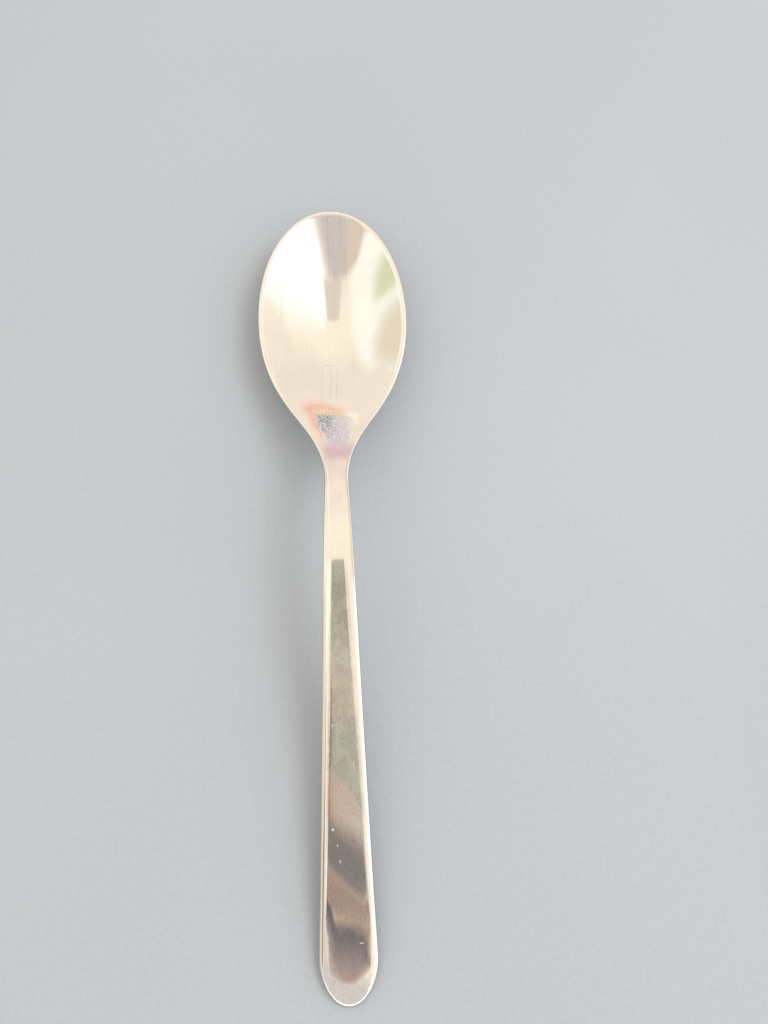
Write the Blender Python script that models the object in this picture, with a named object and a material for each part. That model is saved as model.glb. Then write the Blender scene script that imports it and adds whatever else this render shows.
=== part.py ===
"""Tablespoon: bowl, neck and handle pressed from one piece of polished stainless steel.

Lengths are in metres and +Z is up. The spoon lies as it is laid on a table: on the
underside of its bowl and on the end of its handle. +Y runs from the handle to the tip of
the bowl, and the origin is at the bottom centre of the box round the spoon.
Every place along the spoon is its distance from the tip of the bowl.
"""

import math

import bmesh
import bpy
from mathutils import Vector
from mathutils.geometry import interpolate_bezier

# Plan, as seen from above
LENGTH = 0.200
BOWL_WIDTH = 0.0400
WIDEST_FROM_TIP = 0.0320
TIP_BLUNTNESS = 0.0113
BOWL_FULLNESS = 0.0187
BOWL_FLANK = 0.0266
NECK_WIDTH = 0.0059
NECK_FROM_TIP = 0.0830
NECK_FLANK = 0.0184
END_WIDTH = 0.0136
END_ROUND = 0.0106

# Side view
BOWL_DEPTH = 0.0090
BOWL_WALL = 0.0012
BOWL_STRAIGHTNESS = 0.20
TIP_LIFT = 0.0012
LEVEL_RIM = 0.0130
CREST_RISE = 0.0135
CREST_PAST_NECK = 0.0080
CREST_RADIUS = 0.054
HEEL_LENGTH = 0.0120
HEEL_TO_NECK = 0.0030
STRAIGHT_END = 0.040
END_SLOPE = 0.16

# Thickness of the rim and of the handle
RIM_THICKNESS = 0.0010
NECK_THICKNESS = 0.0031
END_THICKNESS = 0.0022

# The rim's band and the handle's shoulders
RIM_BAND = 0.0012
RIM_ROUND = 0.00045
RIM_DROP = 0.00035
NECK_SHOULDER = 0.0022
END_SHOULDER = 0.0014
SHOULDER_DROP = 0.0012
SHOULDER_BAND = 0.0002
UNDER_ROUND = 0.0009
UNDER_RISE = 0.0007

# A rounding takes at most these shares of the width and the thickness that it lies on
MOST_OF_WIDTH = 0.75
MOST_ABOVE = 0.6
MOST_BELOW = 0.3

STEEL_COLOUR = (0.62, 0.61, 0.59, 1.0)
STEEL_ROUGHNESS = 0.12

TIP_STEPS = 16
FLANK_STEPS = 26
HANDLE_STEPS = 18
END_STEPS = 12
ROUND_STEPS = 4
COLUMNS = 14
SHARP_ANGLE = math.radians(40)


def mix(first, second, share):
    return first + (second - first) * share


def smooth_step(start, end, place):
    """0 before the start, 1 after the end, and an even curve between them."""
    share = min(max((place - start) / (end - start), 0.0), 1.0)
    return share**3 * (share * (6 * share - 15) + 10)


def flowing(start, end, place):
    """Height on the curve between two points of (place, height, slope, curvature)."""
    run = end[0] - start[0]
    share = (place - start[0]) / run
    left = 1 - share
    leave = share * left**3 * (1 + 3 * share) * run * start[2]
    arrive = -(share**3) * left * (4 - 3 * share) * run * end[2]
    bend_away = share**2 * left**3 / 2 * run**2 * start[3]
    bend_back = share**3 * left**2 / 2 * run**2 * end[3]
    height = mix(start[1], end[1], smooth_step(start[0], end[0], place))
    return height + leave + arrive + bend_away + bend_back


def handle_share(place):
    """0 on the bowl and 1 on the handle: it rises over the heel, where one becomes the other."""
    heel_end = NECK_FROM_TIP - HEEL_TO_NECK
    return smooth_step(heel_end - HEEL_LENGTH, heel_end, place)


def along_handle(place):
    """0 up to the neck and 1 at the end."""
    return max((place - NECK_FROM_TIP) / (LENGTH - NECK_FROM_TIP), 0.0)


def thickness(place):
    """Thickness at the rim of the bowl and on the handle."""
    handle = mix(NECK_THICKNESS, END_THICKNESS, along_handle(place))
    return mix(RIM_THICKNESS, handle, handle_share(place))


def edge_height(place):
    """Height of the rim of the bowl and of the top of the handle."""
    rim = BOWL_DEPTH + BOWL_WALL
    rising = (WIDEST_FROM_TIP + LEVEL_RIM, rim, 0.0, 0.0)
    crest = (NECK_FROM_TIP + CREST_PAST_NECK, rim + CREST_RISE, 0.0, -1 / CREST_RADIUS)
    lowest = LENGTH - under_rounding(LENGTH)
    end_top = thickness(lowest) - END_SLOPE * (LENGTH - lowest)
    straight = (LENGTH - STRAIGHT_END, end_top + END_SLOPE * STRAIGHT_END, -END_SLOPE, 0.0)
    if place < WIDEST_FROM_TIP:
        return rim + TIP_LIFT * (1 - place / WIDEST_FROM_TIP) ** 2
    if place < rising[0]:
        return rim
    if place < crest[0]:
        return flowing(rising, crest, place)
    if place < straight[0]:
        return flowing(crest, straight, place)
    return end_top + END_SLOPE * (LENGTH - place)


def half_outline():
    """The plan's right half from the tip to the end, as points of (place, half width)."""
    bowl, neck, end = BOWL_WIDTH / 2, NECK_WIDTH / 2, END_WIDTH / 2
    end_start = LENGTH - END_ROUND
    spread = (end - neck) / (end_start - NECK_FROM_TIP)
    points = interpolate_bezier(
        Vector((0, 0)),
        Vector((0, TIP_BLUNTNESS)),
        Vector((WIDEST_FROM_TIP - BOWL_FULLNESS, bowl)),
        Vector((WIDEST_FROM_TIP, bowl)),
        TIP_STEPS + 1,
    )[:-1]
    points += interpolate_bezier(
        Vector((WIDEST_FROM_TIP, bowl)),
        Vector((WIDEST_FROM_TIP + BOWL_FLANK, bowl)),
        Vector((NECK_FROM_TIP - NECK_FLANK, neck - spread * NECK_FLANK)),
        Vector((NECK_FROM_TIP, neck)),
        FLANK_STEPS + 1,
    )
    for step in range(1, HANDLE_STEPS):
        share = step / HANDLE_STEPS
        points.append((mix(NECK_FROM_TIP, end_start, share), mix(neck, end, share)))
    for step in range(END_STEPS):
        angle = math.pi / 2 * step / END_STEPS
        points.append((end_start + END_ROUND * math.sin(angle), end * math.cos(angle)))
    points.append((LENGTH, 0.0))
    return [Vector(point) for point in points]


def inward_directions(outline):
    """The unit direction square to each point of the half outline, towards its inside."""
    directions = [Vector((1, 0))]
    for before, after in zip(outline, outline[2:]):
        along = (after - before).normalized()
        directions.append(Vector((along.y, -along.x)))
    return directions + [Vector((-1, 0))]


def shoulder_width(place):
    neck = min(NECK_SHOULDER, MOST_OF_WIDTH * NECK_WIDTH / 2)
    end = min(END_SHOULDER, MOST_OF_WIDTH * END_WIDTH / 2)
    return mix(neck, end, along_handle(place))


def rim_rounding():
    return min(RIM_ROUND, MOST_OF_WIDTH * RIM_BAND)


def top_rounding(place):
    """Width of the rounding above the edge."""
    return mix(rim_rounding(), shoulder_width(place), handle_share(place))


def top_drop(place):
    """Height of the rounding above the edge."""
    return min(mix(RIM_DROP, SHOULDER_DROP, handle_share(place)), MOST_ABOVE * thickness(place))


def top_band(place):
    """Width from the edge to the hollow of the bowl or to the flat of the handle."""
    level = mix(RIM_BAND - rim_rounding(), SHOULDER_BAND, handle_share(place))
    return top_rounding(place) + level


def under_rounding(place):
    """Width of the rounding below the edge."""
    handle = min(UNDER_ROUND, MOST_OF_WIDTH * NECK_WIDTH / 2)
    return mix(rim_rounding(), handle, handle_share(place))


def under_rise(place):
    """Height of the rounding below the edge."""
    return min(mix(RIM_DROP, UNDER_RISE, handle_share(place)), MOST_BELOW * thickness(place))


def quarter_turn():
    """For each ring over a rounding, how far in and how far round it lies, from 0 to 1."""
    for step in range(ROUND_STEPS + 1):
        angle = math.pi / 2 * step / ROUND_STEPS
        yield 1 - math.cos(angle), math.sin(angle)


def vertex(mesh, place, across, height):
    return mesh.verts.new((across, LENGTH / 2 - place, height))


def ring(mesh, outline, inset, depth):
    """The right and left half of a closed ring: the outline moved inwards and downwards."""
    right, left = [], []
    for point, direction in zip(outline, inward_directions(outline)):
        place, across = point + direction * inset(point.x)
        height = edge_height(place) - depth(place)
        right.append(vertex(mesh, place, across, height))
        on_middle = point is outline[0] or point is outline[-1]
        left.append(right[-1] if on_middle else vertex(mesh, place, -across, height))
    return right, left


def skin(mesh, first, second):
    """Faces between two rows of vertices, which may share some of them."""
    for corners in zip(first, first[1:], second[1:], second):
        corners = list(dict.fromkeys(corners))
        if len(corners) > 2:
            mesh.faces.new(corners)


def skin_rings(mesh, first, second):
    for half, other in zip(first, second):
        skin(mesh, half, other)


def hollow(place, half_width, widest, across):
    """Depth of the bowl's hollow as a share of its deepest, across being -1 to 1."""
    size = (half_width / widest) ** 2 * (1 - handle_share(place))
    inside = (1 - across**2) * size
    return inside * (1 - BOWL_STRAIGHTNESS * (1 - inside))


def fill(mesh, sides, deepest, depth_below_edge):
    """Rows across the inside of a ring, hollowed to the shape of the bowl."""
    widest = max(vert.co.x for vert in sides[0])
    before = None
    for right, left in zip(*sides):
        place, half_width = LENGTH / 2 - right.co.y, right.co.x
        row = [left]
        for column in range(1, COLUMNS):
            across = 2 * column / COLUMNS - 1
            share = hollow(place, half_width, widest, across)
            height = edge_height(place) - depth_below_edge(place) - deepest * share
            row.append(
                left if right is left else vertex(mesh, place, across * half_width, height)
            )
        row.append(right)
        if before:
            skin(mesh, before, row)
        before = row


def top_side(mesh, outline):
    """The rim's band and the bowl's hollow, the handle's shoulders and its flat top."""
    rings = []
    for inwards, turned in quarter_turn():
        rings.append(
            ring(
                mesh,
                outline,
                lambda place: top_rounding(place) * inwards,
                lambda place: top_drop(place) * (1 - turned),
            )
        )
    rings.append(ring(mesh, outline, top_band, lambda place: 0.0))
    fill(mesh, rings[-1], BOWL_DEPTH, lambda place: 0.0)
    return rings


def under_side(mesh, outline):
    """The outside of the bowl and the flat underside of the handle."""
    rings = []
    for inwards, turned in quarter_turn():
        rings.append(
            ring(
                mesh,
                outline,
                lambda place: under_rounding(place) * inwards,
                lambda place: thickness(place) - under_rise(place) * (1 - turned),
            )
        )
    fill(mesh, rings[-1], BOWL_DEPTH + BOWL_WALL - RIM_THICKNESS, thickness)
    return rings


def steel():
    material = bpy.data.materials.new("polished_steel")
    material.use_nodes = True
    shader = material.node_tree.nodes["Principled BSDF"]
    shader.inputs["Base Color"].default_value = STEEL_COLOUR
    shader.inputs["Metallic"].default_value = 1.0
    shader.inputs["Roughness"].default_value = STEEL_ROUGHNESS
    material.diffuse_color = STEEL_COLOUR
    return material


def spoon():
    mesh = bmesh.new()
    outline = half_outline()
    top = top_side(mesh, outline)
    under = under_side(mesh, outline)
    rings = top[::-1] + under
    for first, second in zip(rings, rings[1:]):
        skin_rings(mesh, first, second)
    bmesh.ops.recalc_face_normals(mesh, faces=mesh.faces)
    data = bpy.data.meshes.new("spoon")
    mesh.to_mesh(data)
    mesh.free()
    data.shade_smooth()
    data.set_sharp_from_angle(angle=SHARP_ANGLE)
    data.materials.append(steel())
    made = bpy.data.objects.new("spoon", data)
    bpy.context.scene.collection.objects.link(made)


def main():
    for startup_object in list(bpy.data.objects):
        bpy.data.objects.remove(startup_object)
    spoon()


main()
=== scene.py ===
"""Tablespoon of polished stainless steel: one pressed piece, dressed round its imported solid.

The spoon lies along Y with the tip of its bowl at +Y and its bowl open upwards. Lengths are in
metres, and a place along the spoon is its distance from the tip of the bowl. In the materials, x, y
and z are in millimetres from the middle of the spoon's box, at the height of the table.
"""

import math

import bpy
import numpy as np
from bpy.props import FloatProperty, FloatVectorProperty, IntProperty, PointerProperty
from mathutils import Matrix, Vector
from mathutils.geometry import interpolate_bezier


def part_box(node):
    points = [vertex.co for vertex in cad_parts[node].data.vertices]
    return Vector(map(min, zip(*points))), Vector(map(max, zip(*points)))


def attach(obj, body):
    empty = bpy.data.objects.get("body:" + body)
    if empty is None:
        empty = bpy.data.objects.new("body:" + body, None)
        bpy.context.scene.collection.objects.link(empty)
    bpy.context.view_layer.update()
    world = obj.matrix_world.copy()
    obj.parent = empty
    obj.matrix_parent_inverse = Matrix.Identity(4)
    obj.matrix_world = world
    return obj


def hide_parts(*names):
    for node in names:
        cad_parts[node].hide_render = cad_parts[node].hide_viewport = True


bl_info = {
    "name": "Tablespoon",
    "version": (1, 0, 0),
    "blender": (4, 5, 0),
    "location": "View3D > Sidebar > Tablespoon",
    "description": "A pressed and polished steel tablespoon on a pale studio floor",
    "category": "Add Mesh",
}

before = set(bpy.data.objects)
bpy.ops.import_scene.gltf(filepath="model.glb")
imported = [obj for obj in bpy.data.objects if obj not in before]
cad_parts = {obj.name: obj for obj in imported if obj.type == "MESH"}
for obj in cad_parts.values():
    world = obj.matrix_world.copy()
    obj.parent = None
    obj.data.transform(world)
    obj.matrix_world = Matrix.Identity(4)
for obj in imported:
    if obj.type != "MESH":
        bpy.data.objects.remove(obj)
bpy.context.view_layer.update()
LOW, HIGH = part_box("spoon")


def size(name, description, default):
    """A length that a user can change."""
    return FloatProperty(
        name=name, description=description, default=default, precision=5, unit="LENGTH"
    )


def share(name, description, default):
    """A number from 0 to 1 that a user can change."""
    return FloatProperty(
        name=name, description=description, default=default, min=0, max=1, subtype="FACTOR"
    )


def angle(name, description, degrees):
    """An angle that a user can change."""
    return FloatProperty(
        name=name, description=description, default=math.radians(degrees), unit="ROTATION"
    )


def colour(name, description, default):
    """A colour that a user can change."""
    return FloatVectorProperty(
        name=name, description=description, default=default, size=3, min=0, max=1, subtype="COLOR"
    )


class SpoonSizes(bpy.types.PropertyGroup):
    """Sizes of the spoon."""

    length: size("Length", "From the tip of the bowl to the end of the handle", HIGH.y - LOW.y)
    bowl_width: size("Bowl width", "Widest part of the bowl", HIGH.x - LOW.x)
    widest_place: size("Widest place", "From the tip to the widest part of the bowl", 0.0320)
    tip_bluntness: size("Tip bluntness", "How far the tip runs level across", 0.0113)
    bowl_fullness: size("Bowl fullness", "How far the sides run level towards the tip", 0.0187)
    flank: size("Flank", "How far the sides run level towards the neck", 0.0266)
    neck_width: size("Neck width", "Narrowest part of the spoon", 0.0059)
    neck_place: size("Neck place", "From the tip to the narrowest part", 0.0830)
    neck_flank: size("Neck flank", "How far the neck runs on into the bowl", 0.0184)
    end_width: size("End width", "Width of the handle where its round end starts", 0.0136)
    end_round: size("End round", "Length of the handle's round end", 0.0106)
    bowl_depth: size("Bowl depth", "Depth of the bowl below its rim", 0.0090)
    bowl_wall: size("Bowl wall", "Thickness at the bottom of the bowl", 0.0012)
    straightness: share("Straightness", "How straight the bowl's sides run up to the rim", 0.20)
    rim_fillet: share("Rim fillet", "How softly the rim turns into the bowl", 0.02)
    tip_lift: size("Tip lift", "How far the tip rises above the rim", 0.0012)
    level_rim: size("Level rim", "How far the rim runs level past the widest part", 0.0130)
    crest_rise: size("Crest rise", "How far the neck rises above the rim", 0.0135)
    crest_run: size("Crest run", "From the narrowest part to the top of the neck", 0.0080)
    crest_radius: size("Crest radius", "How tightly the neck bends at its top", 0.054)
    heel_length: size("Heel length", "Over which the bowl turns into the handle", 0.0120)
    heel_to_neck: size("Heel to neck", "From the heel to the narrowest part", 0.0030)
    straight_end: size("Straight end", "Length of the handle that is straight", 0.040)
    end_slope: share("End slope", "Rise of the straight part for its length", 0.16)
    rim_thickness: size("Rim thickness", "Thickness of the bowl's rim", 0.0010)
    neck_thickness: size("Neck thickness", "Thickness of the neck", 0.0031)
    end_thickness: size("End thickness", "Thickness of the handle's end", 0.0022)
    rim_band: size("Rim band", "Width of the rim's flat band", 0.0012)
    rim_round: size("Rim rounding", "Width of the rim's rounded edge", 0.00045)
    rim_drop: size("Rim drop", "Height of the rim's rounded edge", 0.00035)
    rim_crown: size("Rim crown", "How much the middle of the rim stands up", 0.00008)
    neck_shoulder: size("Neck shoulder", "Width of the neck's rounded shoulders", 0.0036)
    end_shoulder: size("End shoulder", "Width of the end's rounded shoulders", 0.00125)
    shoulder_drop: size("Shoulder drop", "Height of the handle's rounded shoulders", 0.0012)
    under_round: size("Under rounding", "Width of the rounding under the handle", 0.0009)
    under_rise: size("Under rise", "Height of the rounding under the handle", 0.0007)
    end_roll: size("End roll", "Length over which the end's roll-off sets in", 0.018)
    end_dip: size("End dip", "How far the handle's top rolls off at its end", 0.0006)
    curve_steps: IntProperty(
        name="Curve steps", description="Steps along each curve of the outline", default=96
    )
    columns: IntProperty(
        name="Columns", description="Rows of faces across the inside of the spoon", default=56
    )


class SteelLook(bpy.types.PropertyGroup):
    """Colours and finish of the steel, with reflections painted on the handle's strip and in the
    heel.
    """

    steel: colour("Steel", "Colour of the polished steel", (0.62, 0.61, 0.59))
    smudge: colour("Smudge", "Colour of the steel where it is smudged", (0.575, 0.565, 0.54))
    # Film colours a veined coat on the handle's flat strip and paints a dark reflection there in
    # bands; Blush paints a rosy reflection on the strip
    film_and_painted_bands: colour("Film", "Colour of the steel under the handle's film", (0.47, 0.485, 0.45))
    painted_rosy_reflection: colour("Blush", "Colour of the steel below the handle's film", (0.60, 0.44, 0.40))
    # Rosy to Glint paint a reflection in the heel: Rosy, Ochre, Pale, Lavender and Mauve in bands,
    # Brick, Slate and Dusk as dark mottling, Gold and Glint as painted glints
    rosy: colour("Rosy", "Outer band of the heel's stain", (0.67, 0.44, 0.43))
    ochre: colour("Ochre", "Inner band of the heel's stain", (0.56, 0.45, 0.33))
    lavender: colour("Lavender", "Middle of the heel's stain", (0.43, 0.42, 0.51))
    slate: colour("Slate", "Dark mottling in the heel's stain", (0.17, 0.21, 0.24))
    mauve: colour("Mauve", "Foot of the heel's stain", (0.47, 0.36, 0.43))
    brick: colour("Brick", "Dark specks in the stain's outer band", (0.46, 0.24, 0.22))
    gold: colour("Gold", "Light specks in the stain's inner band", (0.80, 0.76, 0.62))
    pale: colour("Pale", "Right end of the stain's outer band", (0.73, 0.71, 0.62))
    dusk: colour("Dusk", "Dark mottling low in the heel's stain", (0.27, 0.27, 0.40))
    glint: colour("Glint", "Light specks in the middle of the stain", (0.76, 0.78, 0.85))
    vein: colour("Vein", "Veins in the handle's film", (0.30, 0.31, 0.28))
    grain: colour("Grain", "Fine dark specks, most of all on the handle", (0.38, 0.38, 0.36))
    thread: colour("Thread", "Dark lines of the polish", (0.46, 0.45, 0.44))
    scratch: colour("Scratch", "Bottom of a scratch", (0.20, 0.20, 0.20))
    roughness: share("Roughness", "Roughness of the polished steel", 0.05)
    waviness: size("Waviness", "Height of the handle's slow waves", 0.000008)
    hairline_depth: size("Hairline depth", "Depth of the polishing lines", 0.000001)
    pit_depth: size("Pit depth", "Depth of the scratches, nicks and pits", 0.00002)


class StudioLook(bpy.types.PropertyGroup):
    """Floor, lights, cards and camera."""

    floor: colour("Floor", "Colour of the pale floor", (0.33, 0.36, 0.405))
    floor_size: size("Floor size", "Length of the floor's sides", 6.0)
    brightness: FloatProperty(name="Brightness", description="Strength of the light", default=2.0)
    light: colour("Light", "Light from above", (0.80, 0.715, 0.59))
    far_light: colour("Far light", "Light from beyond the bowl", (0.72, 0.64, 0.54))
    window: colour("Window", "Light from the right", (1.0, 0.99, 0.97))
    glow: colour("Glow", "Light from the left", (0.82, 0.81, 0.72))
    wall: colour("Wall", "Low light from the left", (0.645, 0.56, 0.44))
    garden: colour("Garden", "Green tint on the left", (0.57, 0.57, 0.37))
    near_light: colour("Near light", "Light from beyond the handle's end", (0.54, 0.50, 0.475))
    shade: colour("Shade", "Shade behind the camera", (0.49, 0.45, 0.44))
    shade_warm: colour("Warm shade", "Left part of the shade behind the camera", (0.58, 0.48, 0.39))
    card_far: colour("Card", "Handle card over the neck", (0.40, 0.37, 0.295))
    card_light: colour("Light card", "Light part of the handle card", (0.47, 0.425, 0.355))
    card_rosy: colour("Rosy card", "Rosy part of the handle card", (0.41, 0.315, 0.27))
    card_dusk: colour("Dusk card", "Rosy part of the handle card in its shade", (0.305, 0.225, 0.19))
    card_dark: colour("Dark card", "Dark part of the handle card", (0.185, 0.165, 0.155))
    card_edge: colour("Card's lip", "Light line on the handle card", (0.48, 0.36, 0.27))
    card_black: colour("Black card", "Darkest part of the handle card", (0.131, 0.124, 0.131))
    card_brown: colour("Brown card", "Near end of the handle card", (0.27, 0.22, 0.205))
    streak: colour("Streak", "Narrow card over the bowl", (0.60, 0.545, 0.455))
    side_white: colour("Side, white", "Low part of the card on the right", (0.91, 0.885, 0.86))
    side_cream: colour("Side, cream", "High part of the card on the right", (0.79, 0.70, 0.58))
    side_pale: colour("Side, pale", "High part of the card on the left", (0.81, 0.815, 0.675))
    side_tan: colour("Side, tan", "Low part of the card on the left", (0.66, 0.56, 0.45))
    side_grey: colour("Side, grey", "Near end of the card on the left", (0.62, 0.585, 0.555))
    side_seam: colour("Side, seam", "Dark seam in the card on the left", (0.28, 0.24, 0.18))
    lamp_place: FloatVectorProperty(
        name="Lamp place", description="Where the lamp hangs", default=(0.5, 0.1, 0.8), unit="LENGTH"
    )
    lamp_size: size("Lamp size", "Length of the lamp's sides", 0.35)
    lamp_power: FloatProperty(
        name="Lamp power", description="Power of the lamp", default=3, unit="POWER"
    )
    camera_x: size("Camera X", "Camera's place across the spoon", 0.00033)
    camera_y: size("Camera Y", "Camera's place along the spoon", -0.03693)
    camera_z: size("Camera Z", "Camera's height", 0.19749)
    tilt: angle("Tilt", "Camera's tilt towards the bowl", 15)
    pan: angle("Pan", "Camera's lean to the side", -2.858)
    turn: angle("Turn", "Camera's turn about its line of sight", -2.297)
    lens: FloatProperty(name="Lens", description="Focal length in millimetres", default=27.04)
    sensor: FloatProperty(name="Sensor", description="Its width in millimetres", default=36)


def smooth_step(start, end, place):
    """0 before the start, 1 after the end, and an even curve between them."""
    part = np.clip((place - start) / (end - start), 0, 1)
    return part**3 * (part * (6 * part - 15) + 10)


def mix(first, second, part):
    """The first value where the part is 0, the second where it is 1."""
    return first + (second - first) * part


def flowing(start, end, place):
    """Height on the curve between two points of (place, height, slope, curvature)."""
    run = end[0] - start[0]
    part = (place - start[0]) / run
    left = 1 - part
    leave = part * left**3 * (1 + 3 * part) * run * start[2]
    arrive = -(part**3) * left * (4 - 3 * part) * run * end[2]
    bend_away = part**2 * left**3 / 2 * run**2 * start[3]
    bend_back = part**3 * left**2 / 2 * run**2 * end[3]
    height = mix(start[1], end[1], smooth_step(start[0], end[0], place))
    return height + leave + arrive + bend_away + bend_back


def rounding(distance, width):
    """Share of a rounded edge's height that is missing at a distance in from the edge."""
    return 1 - np.sqrt(1 - np.clip(1 - distance / width, 0, 1) ** 2)


class Profile:
    """Heights of the spoon, worked out from its sizes for many places at once."""

    # The most of the half width that a shoulder takes
    MOST_OF_WIDTH = 0.93

    # The most of the thickness that the rounding underneath takes
    MOST_OF_THICKNESS = 0.3

    # The share of the handle's half width that its roll-off leaves level
    LEVEL_MIDDLE = 0.42

    def __init__(self, sizes, outline):
        self.sizes = sizes
        self.outline = outline
        self.heel_end = sizes.neck_place - sizes.heel_to_neck
        self.rim = sizes.bowl_depth + sizes.bowl_wall
        self.crest = self.rim + sizes.crest_rise

    def handle_share(self, place):
        """0 on the bowl and 1 on the handle: it rises over the heel."""
        return smooth_step(self.heel_end - self.sizes.heel_length, self.heel_end, place)

    def along_handle(self, place):
        """0 at the neck and 1 at the end of the handle."""
        s = self.sizes
        return np.maximum((place - s.neck_place) / (s.length - s.neck_place), 0)

    def thickness(self, place):
        s = self.sizes
        handle = mix(s.neck_thickness, s.end_thickness, self.along_handle(place))
        return mix(s.rim_thickness, handle, self.handle_share(place))

    def foot_lift(self):
        """How far the rounding under the sloping end reaches below where it starts."""
        s = self.sizes
        taper = (s.neck_thickness - s.end_thickness) / (s.length - s.neck_place)
        rise = self.under_rise(s.length)
        return math.hypot(rise, (s.end_slope - taper) * s.under_round) - rise

    def edge_height(self, place):
        """Height of the rim of the bowl and of the top of the handle."""
        s = self.sizes
        rising = (s.widest_place + s.level_rim, self.rim, 0.0, 0.0)
        crest = (s.neck_place + s.crest_run, self.crest, 0.0, -1 / s.crest_radius)
        lowest = s.length - s.under_round
        end_top = self.thickness(lowest) - s.end_slope * s.under_round + self.foot_lift()
        straight_top = end_top + s.end_slope * s.straight_end
        straight = (s.length - s.straight_end, straight_top, -s.end_slope, 0.0)
        to_tip = np.maximum(1 - place / s.widest_place, 0)
        stretches = [place < rising[0], place < crest[0], place < straight[0]]
        heights = [
            self.rim + s.tip_lift * to_tip**2,
            flowing(rising, crest, place),
            flowing(crest, straight, place),
        ]
        return np.select(stretches, heights, end_top + s.end_slope * (s.length - place))

    def top_rounding(self, place):
        """Width of the rounded edge on top: the rim's on the bowl, a shoulder on the handle."""
        s = self.sizes
        shoulder = mix(s.neck_shoulder, s.end_shoulder, self.along_handle(place))
        half_width = np.sqrt(np.maximum(self.outline.inner_square(place, 0), 0))
        shoulder = np.minimum(shoulder, np.maximum(self.MOST_OF_WIDTH * half_width, s.end_shoulder))
        return mix(s.rim_round, shoulder, self.handle_share(place))

    def top_drop(self, place):
        """Height of the rounded edge on top."""
        s = self.sizes
        handle = s.shoulder_drop - self.end_dip(place)
        return mix(s.rim_drop, handle, self.handle_share(place))

    def end_dip(self, place):
        """How far the handle's top rolls off by the time it reaches the edge."""
        s = self.sizes
        start = s.length - s.end_round - s.end_roll
        return s.end_dip * smooth_step(start, start + s.end_roll, place)

    def rolled(self, place, across):
        """Depth of the roll-off, which follows the round end of the handle."""
        s = self.sizes
        past = np.maximum(place - s.length + s.end_round, 0) / s.end_round
        out = np.hypot(across / (s.end_width / 2), past)
        middle = self.LEVEL_MIDDLE
        return self.end_dip(place) * np.clip((out - middle) / (1 - middle), 0, 1) ** 2

    def crown(self, place, edge):
        """How far the bowl's rim falls away from the middle of its flat band."""
        s = self.sizes
        half = s.rim_band / 2
        out = np.clip((edge - half) / half, -1, 1)
        return s.rim_crown * out**2 * (1 - self.handle_share(place))

    def under_rounding(self, place):
        """Width of the rounded edge underneath."""
        s = self.sizes
        return mix(s.rim_round, s.under_round, self.handle_share(place))

    def under_rise(self, place):
        """Height of the rounded edge underneath."""
        s = self.sizes
        full = mix(s.rim_drop, s.under_rise, self.handle_share(place))
        return np.minimum(full, self.MOST_OF_THICKNESS * self.thickness(place))

    def hollow(self, place, across, band):
        """Depth of the bowl's hollow as a share of its deepest."""
        s = self.sizes
        widest = s.bowl_width / 2 - band
        room = self.outline.inner_square(place, band) - across**2
        inside = room / widest**2
        soft = s.rim_fillet
        turned = (np.clip(inside, -soft, soft) + soft) ** 2 / (4 * soft)
        inside = np.where(inside > soft, inside, turned) * (1 - self.handle_share(place))
        return inside * (1 - s.straightness * (1 - inside))


class Outline:
    """The spoon's plan as a dense row of points, read from the curve that draws it."""

    # Points worked out along each stretch of the curve
    SAMPLES = 400

    # Points as near as this to the middle line count as on it
    SLACK = 1e-9

    def __init__(self, points, length):
        dense = []
        for before, after in zip(points, points[1:] + points[:1]):
            dense += interpolate_bezier(
                before.co, before.handle_right, after.handle_left, after.co, self.SAMPLES
            )[:-1]
        dense = np.array([point[:2] for point in dense])
        right = dense[dense[:, 0] >= -self.SLACK]
        right = right[np.argsort(-right[:, 1], kind="stable")]
        self.length = length
        self.right = right

    def inner_square(self, place, band):
        """Square of the half width inside a band round the edge, and 0 past its ends."""
        line = self.right
        along = np.gradient(line, axis=0)
        along /= np.linalg.norm(along, axis=1)[:, None]
        inward = np.column_stack([along[:, 1], -along[:, 0]])
        inner = line + inward * band
        places = self.length / 2 - inner[:, 1]
        halves = inner[:, 0]
        return np.interp(place, places, halves**2, left=0, right=0)


def deselect():
    for thing in bpy.context.selected_objects:
        thing.select_set(False)


def edit(mode="VERT"):
    bpy.ops.object.mode_set(mode="EDIT")
    bpy.ops.mesh.select_mode(type=mode)


def object_mode():
    bpy.ops.object.mode_set(mode="OBJECT")


class TABLESPOON_OT_spoon(bpy.types.Operator):
    """Cut the spoon's flat blank, press it to shape and polish it"""

    bl_idname = "tablespoon.spoon"
    bl_label = "Spoon"

    def execute(self, context):
        sizes = context.scene.spoon_sizes
        outline = draw_outline(sizes)
        spoon = cut_blank(context, sizes)
        press(spoon, Profile(sizes, outline))
        close_edge(spoon)
        bpy.ops.object.shade_smooth()
        spoon.data.materials.append(polished_steel(context.scene.steel_look))
        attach(spoon, "root")
        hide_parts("spoon")
        return {"FINISHED"}


# Reach of a curve's handle at the start of a quarter circle, as a share of its radius
ARC_REACH = 0.5523


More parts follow.
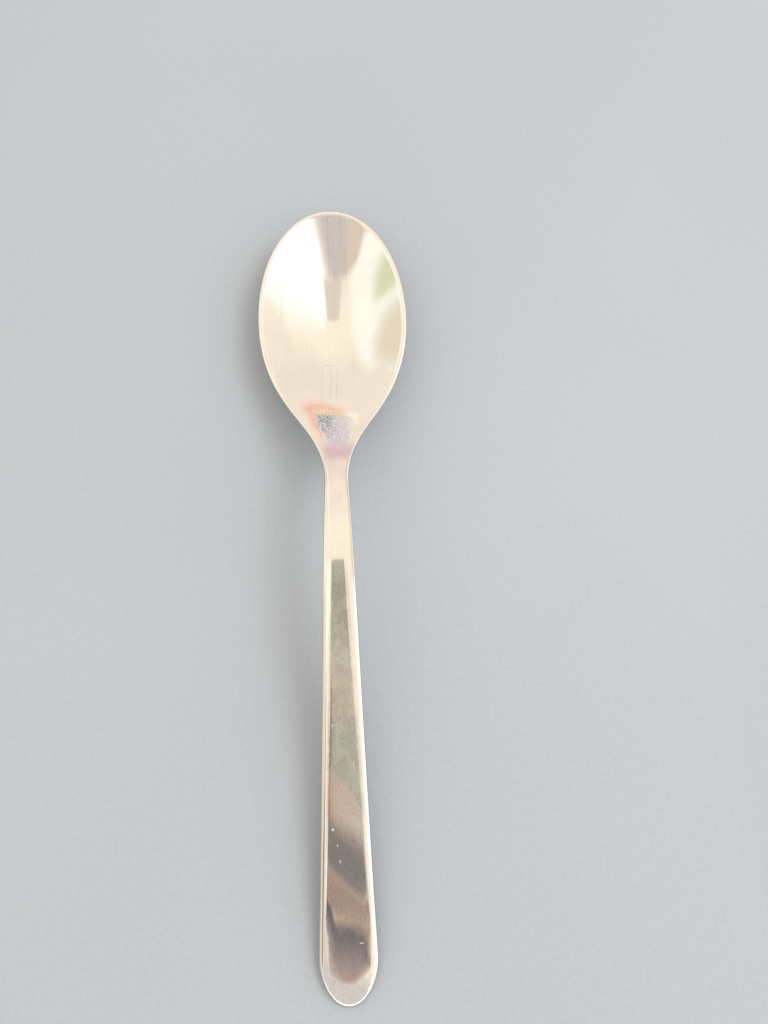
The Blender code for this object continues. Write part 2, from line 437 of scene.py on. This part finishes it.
def draw_outline(sizes):
    """The spoon's plan as a closed curve of eight points, left as the active object."""
    deselect()
    bpy.ops.curve.primitive_bezier_circle_add(radius=sizes.bowl_width / 2)
    bpy.ops.object.mode_set(mode="EDIT")
    bpy.ops.curve.subdivide(number_cuts=1)
    object_mode()
    curve = bpy.context.object
    spline = curve.data.splines[0]
    top = sizes.length / 2
    bowl, neck, end = sizes.bowl_width / 2, sizes.neck_width / 2, sizes.end_width / 2
    end_start = sizes.length - sizes.end_round
    spread = (end - neck) / (end_start - sizes.neck_place)
    flank = sizes.neck_flank
    reach = (end_start - sizes.neck_place) / 3
    right = [
        ((0, 0), (-sizes.tip_bluntness, 0), (sizes.tip_bluntness, 0)),
        (
            (bowl, sizes.widest_place),
            (bowl, sizes.widest_place - sizes.bowl_fullness),
            (bowl, sizes.widest_place + sizes.flank),
        ),
        (
            (neck, sizes.neck_place),
            (neck - spread * flank, sizes.neck_place - flank),
            (neck + spread * reach, sizes.neck_place + reach),
        ),
        (
            (end, end_start),
            (end - spread * reach, end_start - reach),
            (end, end_start + ARC_REACH * sizes.end_round),
        ),
        ((0, sizes.length), (ARC_REACH * end, sizes.length), (-ARC_REACH * end, sizes.length)),
    ]
    left = [
        tuple((-across, place) for across, place in (co, after, before))
        for co, before, after in right[3:0:-1]
    ]
    for point, spots in zip(spline.bezier_points, right + left):
        co, before, after = (Vector((across, top - place, 0)) for across, place in spots)
        point.handle_left_type = point.handle_right_type = "FREE"
        point.co, point.handle_left, point.handle_right = co, before, after
    spline.resolution_u = sizes.curve_steps
    curve.data.resolution_u = sizes.curve_steps
    return Outline(list(spline.bezier_points), sizes.length)


# How far in from the edge the rings of faces lie
RINGS = (
    0.00002, 0.00006, 0.00012, 0.00020, 0.00030, 0.00045, 0.00065, 0.00085, 0.00100, 0.00110,
    0.00120, 0.00130, 0.00145, 0.00160, 0.00180, 0.00200, 0.00220, 0.00240,
)


def cut_blank(context, sizes):
    """The flat blank: rings of faces round the edge and rows across the inside, twice over."""
    bpy.ops.object.convert(target="MESH")
    spoon = context.object
    spoon.name = spoon.data.name = "tablespoon"
    spoon.vertex_groups.new(name="inwards")
    edit()
    bpy.ops.mesh.select_all(action="SELECT")
    bpy.ops.mesh.edge_face_add()
    before = 0
    for ring in RINGS:
        bpy.ops.mesh.inset(thickness=ring - before, use_even_offset=True)
        context.scene.tool_settings.vertex_group_weight = ring / RINGS[-1]
        bpy.ops.object.vertex_group_assign()
        before = ring
    fill_inside(spoon, sizes)

    # These faces point up and make the top, and their copies point down and make the underside
    edit("FACE")
    bpy.ops.mesh.select_all(action="SELECT")
    bpy.ops.mesh.normals_make_consistent(inside=False)
    object_mode()
    if spoon.data.polygons[0].normal.z < 0:
        edit("FACE")
        bpy.ops.mesh.flip_normals()
    edit("FACE")
    bpy.ops.mesh.duplicate()
    bpy.ops.mesh.flip_normals()
    spoon.vertex_groups.new(name="underside")
    context.scene.tool_settings.vertex_group_weight = 1
    bpy.ops.object.vertex_group_assign()
    object_mode()
    return spoon


def fill_inside(spoon, sizes):
    """Rows of faces across the inside, in place of the selected face of the innermost ring."""
    object_mode()
    mesh = spoon.data
    inner = next(set(face.vertices) for face in mesh.polygons if face.select)
    tip = max(inner, key=lambda index: mesh.vertices[index].co.y)
    end = min(inner, key=lambda index: mesh.vertices[index].co.y)
    edit("FACE")
    bpy.ops.mesh.delete(type="ONLY_FACE")
    object_mode()
    sides = inner - {tip, end}
    for vertex in mesh.vertices:
        vertex.select = False
    for edge in mesh.edges:
        edge.select = sides.issuperset(edge.vertices)
    edit("EDGE")
    bpy.ops.mesh.bridge_edge_loops(number_cuts=sizes.columns - 1, interpolation="LINEAR")
    bpy.ops.mesh.select_all(action="SELECT")
    bpy.ops.mesh.fill_holes(sides=sizes.columns + 2)


def press(spoon, profile):
    """Gives the flat blank its side curve, its thickness, its hollow and its rounded edges.

    The steel reads the attribute topside, because the reflection painted in its heel and its marks
    are on top only.
    """
    mesh = spoon.data
    s = profile.sizes
    spots = np.empty(len(mesh.vertices) * 3)
    mesh.vertices.foreach_get("co", spots)
    spots = spots.reshape(-1, 3)[:, :2]
    under = weights(spoon, "underside")
    over = 1 - under
    mesh.attributes.new("topside", "FLOAT", "POINT").data.foreach_set("value", over)
    place, across = s.length / 2 - spots[:, 1], spots[:, 0]
    edge = weights(spoon, "inwards") * RINGS[-1]
    top = profile.top_drop(place) * rounding(edge, profile.top_rounding(place))
    top += profile.rolled(place, across) + profile.crown(place, edge)
    bottom = profile.under_rise(place) * rounding(edge, profile.under_rounding(place))
    inner = profile.hollow(place, across, s.rim_band)
    outer = profile.hollow(place, across, s.rim_round)
    push(spoon, "side_curve", profile.edge_height(place), profile.crest)
    push(spoon, "thickness", -under * profile.thickness(place), s.neck_thickness)
    push(spoon, "bowl_inside", -over * s.bowl_depth * inner, s.bowl_depth)
    outside = profile.rim - s.rim_thickness
    push(spoon, "bowl_outside", -under * outside * outer, outside)
    push(spoon, "shoulders", -over * top, s.shoulder_drop)
    push(spoon, "under_edge", under * bottom, s.under_rise)


def weights(spoon, name):
    """The weight of each vertex in a vertex group."""
    index = spoon.vertex_groups[name].index
    found = np.zeros(len(spoon.data.vertices))
    for vertex in spoon.data.vertices:
        for member in vertex.groups:
            if member.group == index:
                found[vertex.index] = member.weight
    return found


def push(spoon, name, heights, reach):
    """Moves each vertex by its height, as an applied Displace with weights up to its reach."""
    group = spoon.vertex_groups.new(name=name)
    sign = -1 if heights.min() < 0 else 1
    for index in np.flatnonzero(heights):
        group.add([int(index)], sign * heights[index] / reach, "REPLACE")
    modifier = spoon.modifiers.new(name, "DISPLACE")
    modifier.direction = "Z"
    modifier.mid_level = 0
    modifier.strength = sign * reach
    modifier.vertex_group = name
    bpy.ops.object.modifier_apply(modifier=name)


def close_edge(spoon):
    """The wall between the two sides, all round the edge."""
    edit("EDGE")
    bpy.ops.mesh.select_all(action="DESELECT")
    bpy.ops.mesh.select_non_manifold()
    bpy.ops.mesh.bridge_edge_loops()
    object_mode()


class Socket:
    """An output of a node. An expression on it adds the nodes that work it out."""

    def __init__(self, nodes, out):
        self.nodes = nodes
        self.out = out

    def math(self, operation, *values):
        return self.nodes.add("ShaderNodeMath", {"operation": operation}, dict(enumerate(values)))[0]

    def __add__(self, other):
        return self.math("ADD", self, other)

    __radd__ = __add__

    def __sub__(self, other):
        return self.math("SUBTRACT", self, other)

    def __rsub__(self, other):
        return self.math("SUBTRACT", other, self)

    def __mul__(self, other):
        return self.math("MULTIPLY", self, other)

    __rmul__ = __mul__

    def __truediv__(self, other):
        return self.math("DIVIDE", self, other)

    def __rtruediv__(self, other):
        return self.math("DIVIDE", other, self)

    def __pow__(self, other):
        return self.math("POWER", self, other)

    def __abs__(self):
        return self.math("ABSOLUTE", self)

    def rise(self, low, high):
        """0 below the low value, 1 above the high one, and a smooth ramp between."""
        inputs = {"Value": self, "From Min": low, "From Max": high}
        return self.nodes.add("ShaderNodeMapRange", {"interpolation_type": "SMOOTHSTEP"}, inputs)[0]

    def fall(self, low, high):
        """1 below the low value, 0 above the high one, and a smooth ramp between."""
        return 1 - self.rise(low, high)

    def within(self, low, high, soft):
        """1 between two values, with soft ends inside them."""
        return self.rise(low, low + soft) * self.fall(high - soft, high)

    def least(self, other, soft):
        """The smaller of two values, with a rounded turn from one to the other."""
        return self.math("SMOOTH_MIN", self, other, soft)


class Made:
    """A node that was just added. Its outputs are read by name or by number."""

    def __init__(self, nodes, node):
        self.nodes = nodes
        self.node = node

    def __getitem__(self, name):
        return Socket(self.nodes, self.node.outputs[name])


class Nodes:
    """The nodes of a material or of the world."""

    def __init__(self, tree):
        self.tree = tree

    def add(self, kind, settings=None, inputs=None):
        """Adds any node: its settings first, then what its sockets are given."""
        node = self.tree.nodes.new(kind)
        for name, setting in (settings or {}).items():
            setattr(node, name, setting)
        for name, given in (inputs or {}).items():
            self.feed(node.inputs[name], given)
        return Made(self, node)

    def feed(self, socket, given):
        """Gives a socket a link, or a value of its own."""
        if isinstance(given, Socket):
            self.tree.links.new(given.out, socket)
        else:
            socket.default_value = given

    def place(self, kind="Object"):
        return self.add("ShaderNodeTexCoord")[kind]

    def parts(self, vector):
        split = self.add("ShaderNodeSeparateXYZ", inputs={0: vector})
        return split["X"], split["Y"], split["Z"]

    def millimetres(self):
        """The place on a piece as three numbers."""
        return self.parts(self.stretched(self.place(), (1000, 1000, 1000)))

    def stretched(self, vector, factors):
        return self.add("ShaderNodeVectorMath", {"operation": "MULTIPLY"}, {0: vector, 1: factors})[0]

    def noise(self, vector, scale=1, detail=2, roughness=0.5):
        inputs = {"Vector": vector, "Scale": scale, "Detail": detail, "Roughness": roughness}
        return self.add("ShaderNodeTexNoise", inputs=inputs)[0]

    def blend(self, part, first, second):
        """Mixes two colours, each a socket or red, green and blue."""
        # The colours of a Mix node are its inputs 6 and 7 and its output 2
        a, b = (given if isinstance(given, Socket) else (*given, 1) for given in (first, second))
        return self.add("ShaderNodeMix", {"data_type": "RGBA"}, {0: part, 6: a, 7: b})[2]

    def bump(self, height, distance, normal=None):
        inputs = {"Height": height, "Distance": distance, "Strength": 1}
        if normal is not None:
            inputs["Normal"] = normal
        return self.add("ShaderNodeBump", inputs=inputs)[0]


def new_material(name):
    """A material, its nodes and the inputs of its surface."""
    material = bpy.data.materials.new(name)
    material.use_nodes = True
    tree = material.node_tree
    return material, Nodes(tree), tree.nodes["Principled BSDF"].inputs


# The scratch that runs across the bowl: where along the spoon, from and to across it
CROSS_SCRATCH = (57.2, -3.4, 0.65)

# Scratches that run along the spoon: where across it, from and to along it, half width
SCRATCHES = (
    (-3.3, 44.0, 57.2, 0.10),
    (-1.1, 45.0, 57.0, 0.08),
    (-0.6, 50.0, 56.5, 0.14),
    (0.55, 44.5, 57.2, 0.10),
    (-14.0, 66.5, 84.0, 0.10),
    (0.35, 71.0, 98.0, 0.15),
    (0.95, 83.5, 89.0, 0.12),
    (1.40, 76.0, 85.0, 0.12),
    (0.80, 12.0, 15.5, 0.12),
)

# Nicks: where across the spoon, where along it, half width, half length
NICKS = (
    (-7.3, 61.2, 0.22, 0.26),
    (2.5, 77.0, 0.32, 0.36),
    (-2.5, -38.5, 0.13, 0.22),
    (2.3, -47.5, 0.13, 0.55),
    (-2.2, -44.5, 0.15, 0.22),
    (-2.9, -61.5, 0.28, 0.28),
    (-1.9, -65.0, 0.12, 0.30),
    (-1.4, -68.5, 0.12, 0.40),
    (3.0, -86.2, 0.50, 0.13),
)


def worn(x, y):
    """The scratches and the nicks: each 1 in its middle and 0 away from it."""
    along, left, right = CROSS_SCRATCH
    scratches = abs(y - along).fall(0.04, 0.14) * x.within(left, right, 0.2)
    for across, low, high, half_width in SCRATCHES:
        scratches = scratches + abs(x - across).fall(0, half_width) * y.within(low, high, 1.0)
    nicks = 0
    for across, along, half_width, half_length in NICKS:
        reach = ((x - across) / half_width) ** 2 + ((y - along) / half_length) ** 2
        nicks = nicks + reach.fall(0, 1)
    return scratches, nicks


def painted_reflection(nodes, look, colour, place, x, y):
    """The reflection painted in the heel, with the masks of its middle and its mottling.

    From the bowl down it has a rosy band, an ochre one, a mottled middle and a mauve foot, with dark
    specks and painted glints.
    """
    # How far in from the painted reflection's wavy edge
    wobble = (nodes.noise(place, 480, 3) - 0.5) * 2.2
    left = x + 9.4 - (43.5 - y) * 0.36
    right = 7.4 - x - (39 - y) * 0.22
    upper = 44.0 - y - x.rise(-4, 5) * 3.2
    depth = left.least(right, 2.0).least(upper, 5.0).least(y - 23.5, 2.0) + wobble

    mottle = nodes.noise(nodes.stretched(place, (1, 0.7, 1)), 2300, 4, 0.7)
    patches = nodes.noise(place, 700, 3)
    corner = y - x * 2.2
    rosy = depth.rise(-1.2, 1.0) * depth.fall(1.6, 4.0) * corner.rise(28, 42) * y.rise(27, 36)
    colour = nodes.blend(rosy * 0.75, colour, look.rosy)
    band = depth.within(0.6, 2.8, 0.9)
    brick = band * corner.rise(34, 44) * mottle.rise(0.40, 0.55)
    colour = nodes.blend(brick * 0.5, colour, look.brick)
    ochre = depth.rise(1.3, 2.3) * y.rise(36.0, 38.0)
    colour = nodes.blend(ochre * x.fall(-1, 6) * 0.85, colour, look.ochre)
    colour = nodes.blend(ochre * mottle.rise(0.56, 0.62) * 0.8, colour, look.gold)
    colour = nodes.blend(band * (x * 2 + y).rise(44, 48), colour, look.pale)

    middle = depth.rise(1.9, 3.1) * y.fall(38.4, 39.8)
    colour = nodes.blend(middle * (0.85 - 0.3 * x.rise(0, 5)), colour, look.lavender)
    left_top = (x + (36 - y) * 0.2).fall(-2.5, 0.5) * y.rise(29, 34)
    dots = 0.1 + 0.55 * patches.rise(0.42, 0.58) * (y + x).fall(33, 40) + 0.85 * left_top
    slate = nodes.blend(y.rise(32, 35), look.dusk, look.slate)
    colour = nodes.blend(middle * mottle.fall(0.44, 0.58) * dots, colour, slate)
    colour = nodes.blend(middle * mottle.rise(0.56, 0.64) * 0.6, colour, look.glint)

    mauve = depth.rise(-1.2, 1.6) * y.fall(26, 31.5)
    colour = nodes.blend(mauve * 0.85, colour, look.mauve)
    foot = y.rise(6, 13) * y.fall(22, 27) * 0.20
    return nodes.blend(foot, colour, look.mauve), middle, mottle


def film_and_painted_bands(nodes, look, colour, place, x, y, flat):
    """The veined, greenish coat on the handle's flat strip, with the noise that makes it uneven, and
    a dark reflection painted in bands near the neck and towards the end.

    Just past its curved edge, and in a band across the strip, the steel has a painted rosy
    reflection.
    """
    uneven = nodes.noise(nodes.stretched(place, (1, 0.5, 1)), 520, detail=5, roughness=0.7)
    above = y + 49.2 + (x + 4) ** 2 * 0.142
    # Painted reflection: the strip is darker near the neck and towards the end
    painted_strip_bands = 0.7 * y.rise(-23, -13) + 1.2 * y.fall(-41, -34)
    cover = (uneven.rise(0.46, 0.57) * 0.7 + painted_strip_bands * 0.5) * above.rise(-0.2, 0.5)
    colour = nodes.blend(flat * cover, colour, look.film_and_painted_bands)
    veins = abs(uneven - 0.5).fall(0, 0.035) * (y.rise(-22, -14) + y.within(-50, -34, 3))
    colour = nodes.blend(flat * veins * 0.45, colour, look.vein)
    # Painted rosy reflection, just past the curved edge and in a band across the strip
    painted_rosy_reflection = above.fall(-0.2, 0.5) * y.rise(-62, -55) + y.within(-40, -22, 6) * x.rise(-4, 0) * 0.5
    return nodes.blend(flat * painted_rosy_reflection * 0.5, colour, look.painted_rosy_reflection), uneven


def polished_steel(look):
    """Mirror-polished steel with lengthwise hairlines, smudges and scratches, a veined coat and
    painted reflection bands on the handle, and a painted reflection with dark mottling in the heel.
    """
    material, nodes, surface = new_material("polished_steel")
    place = nodes.place()
    x, y = nodes.millimetres()[:2]
    topside = nodes.add("ShaderNodeAttribute", {"attribute_name": "topside"})["Fac"]
    hairlines = nodes.noise(nodes.stretched(place, (5200, 90, 0)), detail=3, roughness=0.6)
    threads = nodes.noise(nodes.stretched(place, (1700, 28, 0)), detail=2)
    smudges = nodes.noise(place, 130, detail=4, roughness=0.6)
    grain = nodes.noise(nodes.stretched(place, (1, 0.45, 1)), 2200, detail=3, roughness=0.6)

    # The flat strip between the handle's shoulders, which widens towards the end
    flat = topside * y.fall(-8, 0) * (abs(x) + y * 0.047).fall(1.3, 2.1)
    # The middle of the bowl near its tip, where the polish shows its dark lines most
    tip = y.rise(68, 80) * abs(x).fall(3, 9)
    scratches, nicks = (wear * topside for wear in worn(x, y))

    colour = nodes.blend(smudges.rise(0.35, 0.75) * 0.6, look.steel, look.smudge)
    # A veined coat on the handle's strip, with a dark and a rosy reflection painted there in bands
    colour, uneven = film_and_painted_bands(nodes, look, colour, place, x, y, flat)
    grained = grain.rise(0.50, 0.72) * (0.08 + 0.37 * flat)
    colour = nodes.blend(grained, colour, look.grain)
    threaded = threads.rise(0.50, 0.75) * (0.10 + 0.5 * tip + 0.2 * flat)
    colour = nodes.blend(threaded, colour, look.thread)
    # The reflection painted in the heel, in rosy, ochre, lavender and mauve bands with dark mottling
    # and painted glints
    painted_heel_colour, middle, mottle = painted_reflection(nodes, look, colour, place, x, y)
    colour = nodes.blend(topside, colour, painted_heel_colour)
    middle = middle * topside
    nodes.feed(surface["Base Color"], nodes.blend(scratches * 0.4, colour, look.scratch))
    nodes.feed(surface["Metallic"], 1 - 0.35 * middle)

    rough = look.roughness + 0.05 * smudges.rise(0.4, 0.8) + 0.05 * hairlines.rise(0.5, 0.8)
    rough = rough + 0.05 * flat * uneven.rise(0.45, 0.75) + 0.12 * middle + 0.2 * scratches
    nodes.feed(surface["Roughness"], rough)

    waves = nodes.noise(nodes.stretched(place, (1, 0.6, 1)), 260, detail=2)
    normal = nodes.bump(waves * flat, look.waviness)
    normal = nodes.bump(hairlines + threads * 0.5 + grain * 0.3, look.hairline_depth, normal)
    pits = mottle * middle * 0.6 - scratches * 0.5 - nicks * 4
    nodes.feed(surface["Normal"], nodes.bump(pits, look.pit_depth, normal))
    return material


class TABLESPOON_OT_studio(bpy.types.Operator):
    """Lay the floor, hang the lights and set up the camera"""

    bl_idname = "tablespoon.studio"
    bl_label = "Studio"

    def execute(self, context):
        look = context.scene.studio_look
        lay_floor(look)
        light_studio(context, look)
        hang_cards(look)
        set_camera(context, look)
        return {"FINISHED"}


def lay_floor(look):
    """A plain pale floor with a faint, fine grain."""
    deselect()
    bpy.ops.mesh.primitive_plane_add(size=look.floor_size)
    floor = bpy.context.object
    floor.name = "floor"
    material, nodes, surface = new_material("pale_floor")
    place = nodes.place()
    grain = nodes.noise(place, 900, detail=3)
    clouds = nodes.noise(place, 6, detail=3)
    tone = clouds.rise(0.3, 0.7) * 0.5 + grain.rise(0.3, 0.7) * 0.5
    colour = nodes.blend(tone * 0.08, look.floor, (0, 0, 0))
    nodes.feed(surface["Base Color"], colour)
    nodes.feed(surface["Roughness"], 0.65)
    nodes.feed(surface["Specular IOR Level"], 0.2)
    nodes.feed(surface["Normal"], nodes.bump(grain, 0.00003))
    floor.data.materials.append(material)


def light_studio(context, look):
    """Soft light all round, with a window on the right, a glow on the left and shade behind.

    A direction is given by its shares across, along and up, from -1 to 1.
    """
    world = bpy.data.worlds.new("studio")
    world.use_nodes = True
    nodes = Nodes(world.node_tree)
    across, along, up = nodes.parts(nodes.place("Generated"))
    leftward = 0 - across
    far = along.rise(0.50, 0.78) * up.fall(0.50, 0.75)
    light = nodes.blend(far, look.light, look.far_light)
    glow = leftward.rise(0.40, 0.62) * along.fall(0.64, 0.86)
    light = nodes.blend(glow, light, look.glow)
    garden = leftward.rise(0.76, 0.84) * along.within(-0.06, 0.37, 0.10)
    light = nodes.blend(garden * 0.95, light, look.garden)
    rightward = across + along * 0.78
    window = rightward.rise(-0.08, 0.12) * across.rise(0.12, 0.30)
    light = nodes.blend(window * along.fall(0.08, 0.60), light, look.window)
    wall = up.fall(0.30, 0.46) * along.rise(0.30, 0.44) * leftward.rise(0.58, 0.76)
    light = nodes.blend(wall, light, look.wall)
    low_right = up.fall(0.34, 0.42) * across.rise(0.60, 0.70) * along.fall(0.70, 0.80)
    light = nodes.blend(low_right * 0.6, light, look.far_light)
    near = (along + across * 0.25).fall(-0.66, -0.52) * up.rise(0.20, 0.35)
    light = nodes.blend(near, light, look.near_light)
    low_near = along.fall(-0.90, -0.80) * up.fall(0.20, 0.35)
    light = nodes.blend(low_near, light, look.window)

    # The shade behind the camera, a soft patch
    patch = rightward.fall(-0.20, 0.12) * leftward.fall(0.56, 0.64)
    patch = patch * (along + across * 0.3).rise(-0.52, -0.46) * along.fall(-0.15, -0.03)
    patch = patch * (along + leftward * 0.3).fall(0.01, 0.13)
    shade = nodes.blend(leftward.rise(0.10, 0.50), look.shade, look.shade_warm)
    light = nodes.blend(patch, light, shade)

    background = world.node_tree.nodes["Background"]
    nodes.feed(background.inputs["Color"], light)
    nodes.feed(background.inputs["Strength"], look.brightness)
    context.scene.world = world
    context.scene.view_settings.view_transform = "Standard"
    deselect()
    bpy.ops.object.light_add(type="AREA", location=look.lamp_place)
    lamp = bpy.context.object
    lamp.name = "lamp"
    lamp.data.size = look.lamp_size
    lamp.data.energy = look.lamp_power
    lamp.visible_glossy = False
    lamp.rotation_euler = Vector(look.lamp_place).to_track_quat("Z", "Y").to_euler()


def hang(name, sides, middle, turn, pattern):
    """A card that shows in reflections only. Its pattern gives colour and cover for x, y and z."""
    deselect()
    bpy.ops.mesh.primitive_plane_add(size=1, location=middle, rotation=turn)
    card = bpy.context.object
    card.name = name
    card.scale = (*sides, 1)
    bpy.ops.object.transform_apply(location=True, rotation=True, scale=True)
    card.visible_camera = False
    card.visible_diffuse = False
    card.visible_shadow = False
    card.visible_transmission = False
    material, nodes, surface = new_material(name)
    nodes.feed(surface["Base Color"], (0, 0, 0, 1))
    nodes.feed(surface["Specular IOR Level"], 0)
    nodes.feed(surface["Emission Strength"], bpy.context.scene.studio_look.brightness)
    colour, cover = pattern(nodes, *nodes.millimetres())
    nodes.feed(surface["Emission Color"], colour)
    nodes.feed(surface["Alpha"], cover)
    card.data.materials.append(material)


def hang_cards(look):
    """Cards that the spoon mirrors: over the handle and the bowl, in the heel, by the neck and on
    both sides. They give its bright and dark bands their edges.
    """

    # How steeply the upper edge of the side cards falls towards the bowl
    side_fall = 1.85

    def over_handle(nodes, x, y, z):
        # Soft bands that slant across the card
        clouds = nodes.noise(nodes.place(), 60, detail=4) - 0.5
        side = (x.rise(-22, 16) - 0.5) * 30
        slant = y + side * 0.8 + clouds * 5
        colour = nodes.blend(slant.fall(-125, -95), look.card_far, look.card_light)
        colour = nodes.blend(slant.fall(-150, -144), colour, look.card_rosy)
        dark = slant.rise(-178, -175) * slant.fall(-160, -146)
        colour = nodes.blend(dark, colour, look.card_dark)
        colour = nodes.blend(slant.fall(-181, -178), colour, look.card_dusk)

        # A thin light lip with a sharp dark step past it
        lip = y + x * 0.2 - x.fall(-20, -14) * 10 + clouds * 0.8
        colour = nodes.blend(lip.fall(-198, -193), colour, look.card_edge)
        black = lip.fall(-200.5, -199.5) * x.fall(40, 75)
        colour = nodes.blend(black, colour, look.card_black)
        back = y + x * 0.2
        colour = nodes.blend(back.fall(-221, -203), colour, look.card_brown)
        colour = nodes.blend(back.fall(-234, -215), colour, look.card_rosy)

        # The left edge lies further out over the neck and at the near end, the right one only there
        near = y.fall(-212, -185)
        wide = near + y.rise(-150, -135)
        cover = (x + wide * 28).rise(-40, -30) * (x - near * 66).fall(8, 22)
        return nodes.blend(y.rise(-25, -22), colour, look.light), cover * y.rise(-259, -234)

    def over_bowl(nodes, x, y, z):
        end = ((x + 3) / 17) ** 2
        cover = x.rise(-22, -13) * x.fall(11, 16) * (y + end * 3).fall(104, 109) * y.rise(75, 78)
        return (*look.streak, 1), cover

    def in_heel(nodes, x, y, z):
        return (*look.far_light, 1), z.rise(6.5, 9.5) * z.fall(16, 17) * abs(x).fall(9, 12)

    def by_neck(nodes, x, y, z):
        colour = nodes.blend(z.fall(28, 33), look.light, look.side_tan)
        return colour, y.within(-60, 40, 8) * (1 - y.fall(-12, -4) * z.fall(50, 60))

    def on_right(nodes, x, y, z):
        colour = nodes.blend(z.fall(70, 130), look.side_cream, look.side_white)
        return colour, (z + y * side_fall).fall(241, 250)

    def on_left(nodes, x, y, z):
        colour = nodes.blend(z.fall(70, 150), look.side_pale, look.side_tan)
        far = nodes.blend(z.fall(90, 130), look.light, look.side_tan)
        colour = nodes.blend(y.fall(-125, -105), colour, far)
        colour = nodes.blend(y.rise(-30, -15), colour, look.light)
        colour = nodes.blend(y.fall(-174, -158), colour, look.side_grey)
        line = (z - y * 2.5).within(350, 545, 20) * z.within(40, 160, 45) * y.fall(-110, -95)
        colour = nodes.blend(line, colour, look.side_seam)
        return colour, (z + y * side_fall).fall(255, 270) * y.rise(-215, -190)

    upright = math.pi / 2
    leaning = math.atan(0.839)
    hang("handle_card", (0.180, 0.270), (0.010, -0.130, look.camera_z), (0, 0, 0), over_handle)
    hang("bowl_card", (0.045, 0.062), (-0.002, 0.088, 0.0806), (leaning, 0, 0), over_bowl)
    hang("heel_card", (0.032, 0.013), (0, 0.057, 0.011), (upright, 0, 0), in_heel)
    hang("neck_card", (0.100, 0.110), (0.013, -0.010, 0.073), (0, upright, 0), by_neck)
    hang("right_card", (0.400, 0.400), (0.1, -0.075, 0.2), (0, upright, 0), on_right)
    hang("left_card", (0.400, 0.320), (-0.12, -0.055, 0.2), (0, upright, 0), on_left)


def set_camera(context, look):
    deselect()
    bpy.ops.object.camera_add(location=(look.camera_x, look.camera_y, look.camera_z))
    camera = bpy.context.object
    camera.name = "camera"
    camera.rotation_euler = (look.tilt, look.pan, look.turn)
    camera.data.lens = look.lens
    camera.data.sensor_width = look.sensor
    camera.data.clip_start = 0.01
    context.scene.camera = camera


class TABLESPOON_PT_sidebar(bpy.types.Panel):
    """Sizes, finish and studio of the tablespoon"""

    bl_idname = "TABLESPOON_PT_sidebar"
    bl_label = "Tablespoon"
    bl_space_type = "VIEW_3D"
    bl_region_type = "UI"
    bl_category = "Tablespoon"

    def draw(self, context):
        for operator in OPERATORS:
            self.layout.operator(operator.bl_idname)
        for name in PROPERTIES:
            group = getattr(context.scene, name)
            column = self.layout.column(align=True)
            for setting in group.__annotations__:
                column.prop(group, setting)


OPERATORS = (TABLESPOON_OT_spoon, TABLESPOON_OT_studio)
PROPERTIES = {
    "spoon_sizes": SpoonSizes,
    "steel_look": SteelLook,
    "studio_look": StudioLook,
}
CLASSES = (*PROPERTIES.values(), *OPERATORS, TABLESPOON_PT_sidebar)


def register():
    for made in CLASSES:
        bpy.utils.register_class(made)
    for name, group in PROPERTIES.items():
        setattr(bpy.types.Scene, name, PointerProperty(type=group))


def unregister():
    for name in PROPERTIES:
        delattr(bpy.types.Scene, name)
    for made in reversed(CLASSES):
        bpy.utils.unregister_class(made)


def main():
    register()
    bpy.ops.tablespoon.spoon()
    bpy.ops.tablespoon.studio()


if __name__ == "__main__":
    main()
